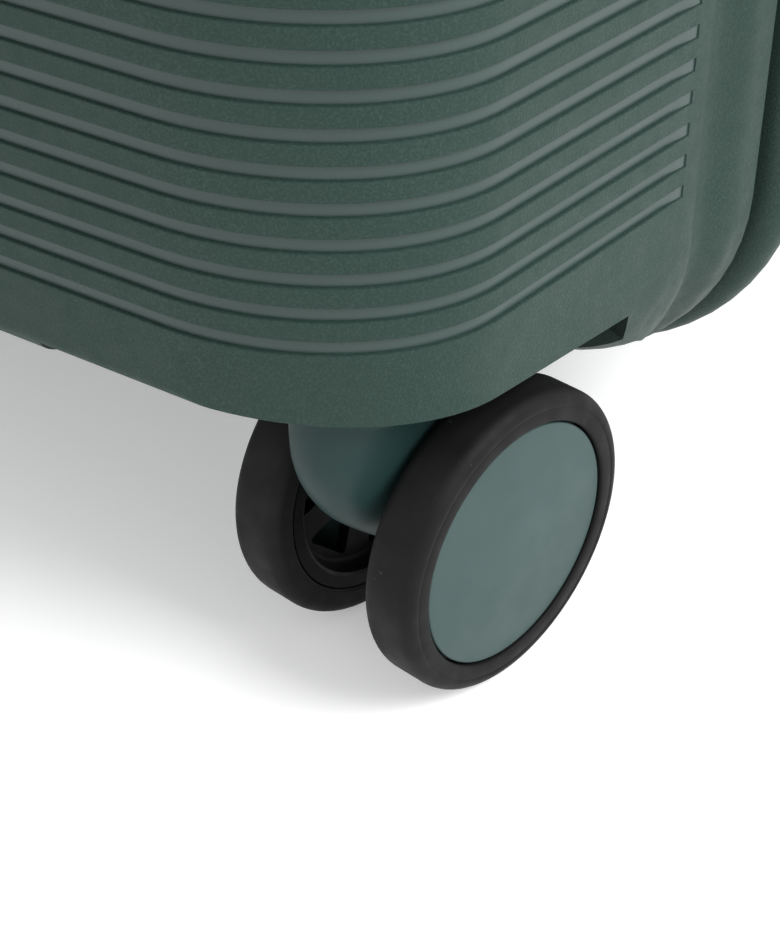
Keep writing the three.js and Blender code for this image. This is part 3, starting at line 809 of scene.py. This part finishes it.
def make_forks():
    satin = smooth_plastic("fork_plastic", (0.014, 0.035, 0.033), 0.4)
    fork = to_object("fork_source", fork_mesh(), [satin])
    bore = revolve([(0.0, -30), (AXLE_BORE_R, -30), (AXLE_BORE_R, 30), (0.0, 30)], 32)
    bmesh.ops.translate(bore, vec=(0, TRAIL, WHEEL_R), verts=bore.verts)
    combine(fork, to_object("tool", bore), "DIFFERENCE")
    for caster in CASTERS:
        spin = JOINTS[f"wheel_{caster}_right_spin"]["axis"]
        turn = Matrix.Rotation(math.atan2(spin[1], spin[0]), 4, "Z")
        place = swivel_place(caster) / TO_MM
        matrix = Matrix.Translation((place.x, place.y, 0)) @ turn
        piece = instance(fork, f"caster_fork_{caster}_fine", matrix)
        settle(piece, f"caster_{caster}", "smooth_plastic", f"caster_fork_{caster}", angle=40)
    bpy.data.objects.remove(fork)


# ---- Pieces softened from the frame's own solids ---------------------------------------------
def softened(node, width_mm, material, body, slot, segments=3, angle=40.0):
    """The node's solid with its outer edges rounded."""
    source = frame["nodes"][node]
    obj = bpy.data.objects.new(f"{node}_fine", source.data.copy())
    bpy.context.scene.collection.objects.link(obj)
    bm = bmesh.new()
    bm.from_mesh(obj.data)
    bmesh.ops.remove_doubles(bm, verts=bm.verts, dist=1e-6)
    bmesh.ops.dissolve_limit(bm, angle_limit=math.radians(1.0), verts=bm.verts, edges=bm.edges)
    bmesh.ops.recalc_face_normals(bm, faces=bm.faces)
    weight = bm.edges.layers.float.new("bevel_weight_edge")
    for edge in bm.edges:
        edge[weight] = float(edge.calc_face_angle_signed(0.0) > math.radians(angle))
    bm.to_mesh(obj.data)
    bm.free()
    bevel = obj.modifiers.new("bevel", "BEVEL")
    bevel.width = width_mm / TO_MM
    bevel.segments = segments
    bevel.limit_method = "WEIGHT"
    bevel.use_clamp_overlap = True
    bake_modifiers(obj)
    obj.data.materials.clear()
    obj.data.materials.append(material)
    return settle(obj, body, slot, node, angle=32)


def paint(node, material):
    """Gives a carried-over CAD node its fine material."""
    mesh = frame["nodes"][node].data
    mesh.materials.clear()
    mesh.materials.append(material)


def make_fittings():
    satin = smooth_plastic("handle_plastic", (0.014, 0.035, 0.032), 0.42)
    black = black_plastic("fitting_plastic")
    dark_metal = metal("anodised_dark", (0.10, 0.115, 0.112), 0.38, (1, 1, 30))
    tube = metal("anodised_tube", (0.55, 0.57, 0.58), 0.32, (1, 1, 60))
    steel = metal("drawn_steel", (0.6, 0.6, 0.6), 0.25, (1, 1, 20))
    lining = woven_lining()
    for node, body in (("top_handle", "top_carry_handle"), ("side_handle", "side_carry_handle"),
                       ("trolley_grip", "trolley_upper_stage")):
        softened(node, 2.2, satin, body, "smooth_plastic", segments=4)
    softened("trolley_button", 1.0, black, "trolley_release_button", "dark_plastic")
    softened("trolley_bezel", 0.8, black, "rear_case", "dark_plastic")
    for node, body in (("latch_lever_lower", "latch_lower"), ("latch_lever_upper", "latch_upper")):
        softened(node, 1.2, black, body, "dark_plastic")
    for node, body in (("latch_plate", "rear_case"), ("catch_plate", "front_case"),
                       ("hinge_rear_leaf", "rear_case"), ("hinge_front_leaf", "front_case")):
        softened(node, 0.5, dark_metal, body, "hinge_metal", segments=2)
    for node in ("front_frame", "rear_frame"):
        paint(node, black)
    for node in ("front_lining", "rear_lining"):
        paint(node, lining)
    for side in ("left", "right"):
        for stage in ("sleeve", "mid_tube", "inner_tube"):
            paint(f"trolley_{stage}_{side}", tube)
    for caster in CASTERS:
        paint(f"caster_housing_{caster}", satin)
        paint(f"axle_{caster}", steel)
    paint("hinge_pin", steel)


# ---- Stage -----------------------------------------------------------------------------------
def area_light(name, target, place, size, power):
    data = bpy.data.lights.new(name, "AREA")
    data.shape = "RECTANGLE"
    data.size, data.size_y = size
    data.energy = power
    light = bpy.data.objects.new(name, data)
    light.location = place
    light.rotation_euler = (Vector(target) - Vector(place)).to_track_quat("-Z", "Y").to_euler()
    bpy.context.scene.collection.objects.link(light)


FLOOR_HALF = 6000.0
FLOOR_GLOW = 0.3                              # the floor is a softly lit sheet
SKY = 0.85
KEY = {"place": (1.5, 0.1, 1.3), "size": (1.0, 1.0), "power": 34}
FILL = {"place": (-0.9, -1.7, 1.0), "size": (1.2, 1.2), "power": 5}


def make_stage():
    bm = bmesh.new()
    bmesh.ops.create_grid(bm, x_segments=8, y_segments=8, size=FLOOR_HALF)
    floor = to_object("floor", bm)
    surface = Surface("pale_floor", (0.85, 0.85, 0.85), 0.7, specular=0.2)
    surface.shader.inputs["Emission Color"].default_value = (1, 1, 1, 1)
    surface.shader.inputs["Emission Strength"].default_value = FLOOR_GLOW
    floor.data.materials.append(surface.rough(surface.noise(300), 0.65, 0.75).material)
    world = bpy.data.worlds.new("studio")
    bpy.context.scene.world = world
    world.use_nodes = True
    background = world.node_tree.nodes["Background"]
    background.inputs["Color"].default_value = (1, 1, 1, 1)
    background.inputs["Strength"].default_value = SKY
    corner = (FACE_HALF / TO_MM, -HALF_DEPTH / TO_MM, 0.1)
    area_light("key", corner, **KEY)
    area_light("front_fill", corner, **FILL)
    view = bpy.context.scene.view_settings
    view.view_transform = "Standard"
    view.look = "None"


make_camera()
make_shells()
make_wheels()
make_forks()
make_fittings()
make_stage()
